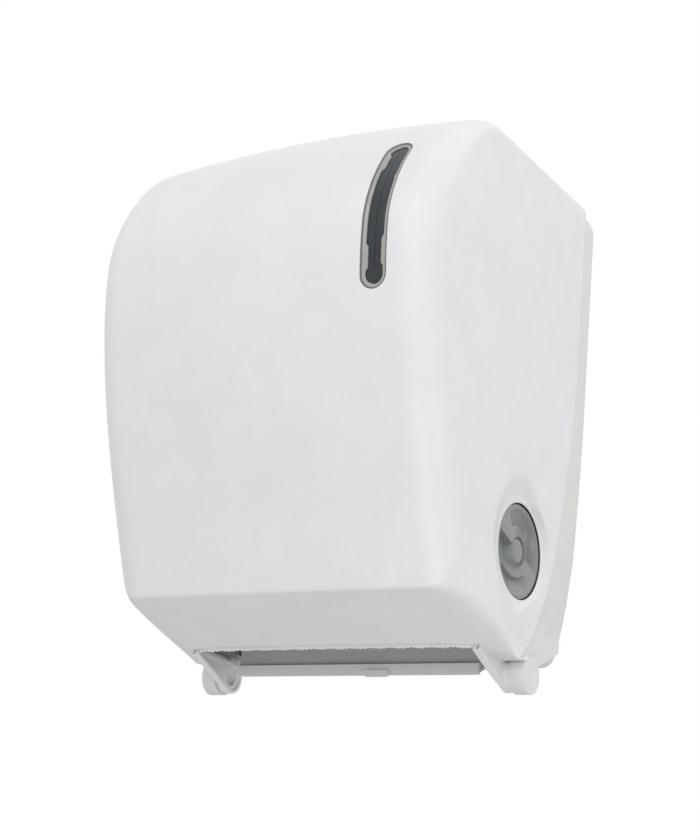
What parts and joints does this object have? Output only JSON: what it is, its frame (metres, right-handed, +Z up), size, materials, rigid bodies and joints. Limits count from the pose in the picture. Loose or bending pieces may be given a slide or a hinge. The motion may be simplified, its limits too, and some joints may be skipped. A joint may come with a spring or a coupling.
{
  "type": "towel dispenser",
  "caption": "Wall-mounted roll towel dispenser with a hinged shield-shaped cover, a level window, a side feed knob, and a feed drum with a built-in knife that cuts each sheet.",
  "frame": {"origin": "on the wall plane, at the centre of the four wall screw holes", "axes": "+X to the viewer's right, +Y into the wall, +Z up"},
  "size_m": [0.2976, 0.27, 0.4149],
  "materials": {
    "cover_white": "satin moulded white",
    "housing_white": "satin moulded off-white",
    "chute_grey": "satin moulded grey",
    "frame_grey": "fine textured light grey",
    "drum_grey": "satin moulded dark grey",
    "knob_grey": "satin moulded mid grey",
    "bush_black": "slick black bearing plastic",
    "lens_smoke": "polished smoked clear plastic",
    "lens_frame": "satin moulded grey beige",
    "steel": "drawn and polished steel",
    "lock_plate": "plated",
    "rubber_grey": "ground soft rubber"
  },
  "bodies": {
    "housing": {"rear_housing": "housing_white", "lip_plug": "housing_white", "chute_plate": "chute_grey", "hinge_pins": "steel", "side_frame_left": "frame_grey", "side_frame_right": "frame_grey", "frame_screws": "steel", "tie_bar": "steel", "drum_bush_left": "bush_black", "drum_bush_right": "bush_black", "yoke_pins": "steel", "yoke_spring_left": "steel", "yoke_spring_right": "steel", "roll_arm_left": "frame_grey", "hub_pin_left": "steel", "holder_bracket": "frame_grey", "holder_pin": "steel", "holder_screws": "steel", "lock_keeper": "frame_grey"},
    "cover": {"front_cover": "cover_white", "hinge_arm_left": "cover_white", "hinge_arm_right": "cover_white", "tear_strip": "cover_white", "window_lens": "lens_smoke", "window_frame": "lens_frame", "lock_sleeve": "lock_plate"},
    "lock": {"lock_barrel": "lock_plate", "lock_cam": "steel"},
    "drum": {"drum_axle": "steel", "drum_shell_front": "drum_grey", "drum_shell_rear": "drum_grey", "grip_bands": "rubber_grey", "axle_ring": "bush_black", "feed_knob": "knob_grey", "knob_cap": "knob_grey", "knob_screw": "steel"},
    "knife": {"knife_bar": "drum_grey", "knife_blade": "steel"},
    "yoke": {"pinch_yoke": "frame_grey"},
    "pinch_roller": {"pinch_shaft": "steel", "pinch_sleeve": "rubber_grey"},
    "right_holder": {"roll_arm_right": "frame_grey", "hub_pin_right": "steel"},
    "hub_left": {"roll_hub_left": "frame_grey"},
    "hub_right": {"roll_hub_right": "frame_grey"}
  },
  "joints": [
    {"name": "cover_hinge", "type": "hinge", "parent": "housing", "child": "cover", "pos_m": [0, -0.06, -0.1895], "axis": [1, 0, 0], "range_deg": [0, 100]},
    {"name": "lock_turn", "type": "hinge", "parent": "cover", "child": "lock", "pos_m": [0, -0.045, 0.2], "axis": [0, 0, -1], "range_deg": [0, 90]},
    {"name": "drum_spin", "type": "hinge", "parent": "housing", "child": "drum", "pos_m": [0, -0.085, -0.102], "axis": [1, 0, 0], "continuous": true},
    {"name": "knife_slide", "type": "slide", "parent": "drum", "child": "knife", "axis": [0, -0.342, -0.9397], "range_m": [0, 0.008]},
    {"name": "yoke_lift", "type": "hinge", "parent": "housing", "child": "yoke", "pos_m": [0, -0.14811, -0.0962], "axis": [-1, 0, 0], "range_deg": [0, 10], "stiffness_Nm_per_rad": 1.2, "springref_deg": -20.05, "deforming": ["yoke_spring_left", "yoke_spring_right"]},
    {"name": "pinch_spin", "type": "hinge", "parent": "yoke", "child": "pinch_roller", "pos_m": [0, -0.13211, -0.1292], "axis": [1, 0, 0], "continuous": true},
    {"name": "right_holder_swing", "type": "hinge", "parent": "housing", "child": "right_holder", "pos_m": [0.114, -0.016, 0.095], "axis": [0, 0, 1], "range_deg": [0, 9]},
    {"name": "hub_left_spin", "type": "hinge", "parent": "housing", "child": "hub_left", "pos_m": [0, -0.137, 0.095], "axis": [1, 0, 0], "continuous": true},
    {"name": "hub_right_spin", "type": "hinge", "parent": "right_holder", "child": "hub_right", "pos_m": [0, -0.137, 0.095], "axis": [1, 0, 0], "continuous": true}
  ],
  "couplings": [
    {"joint": "pinch_spin", "follows": "drum_spin", "ratio": -4.4}
  ]
}
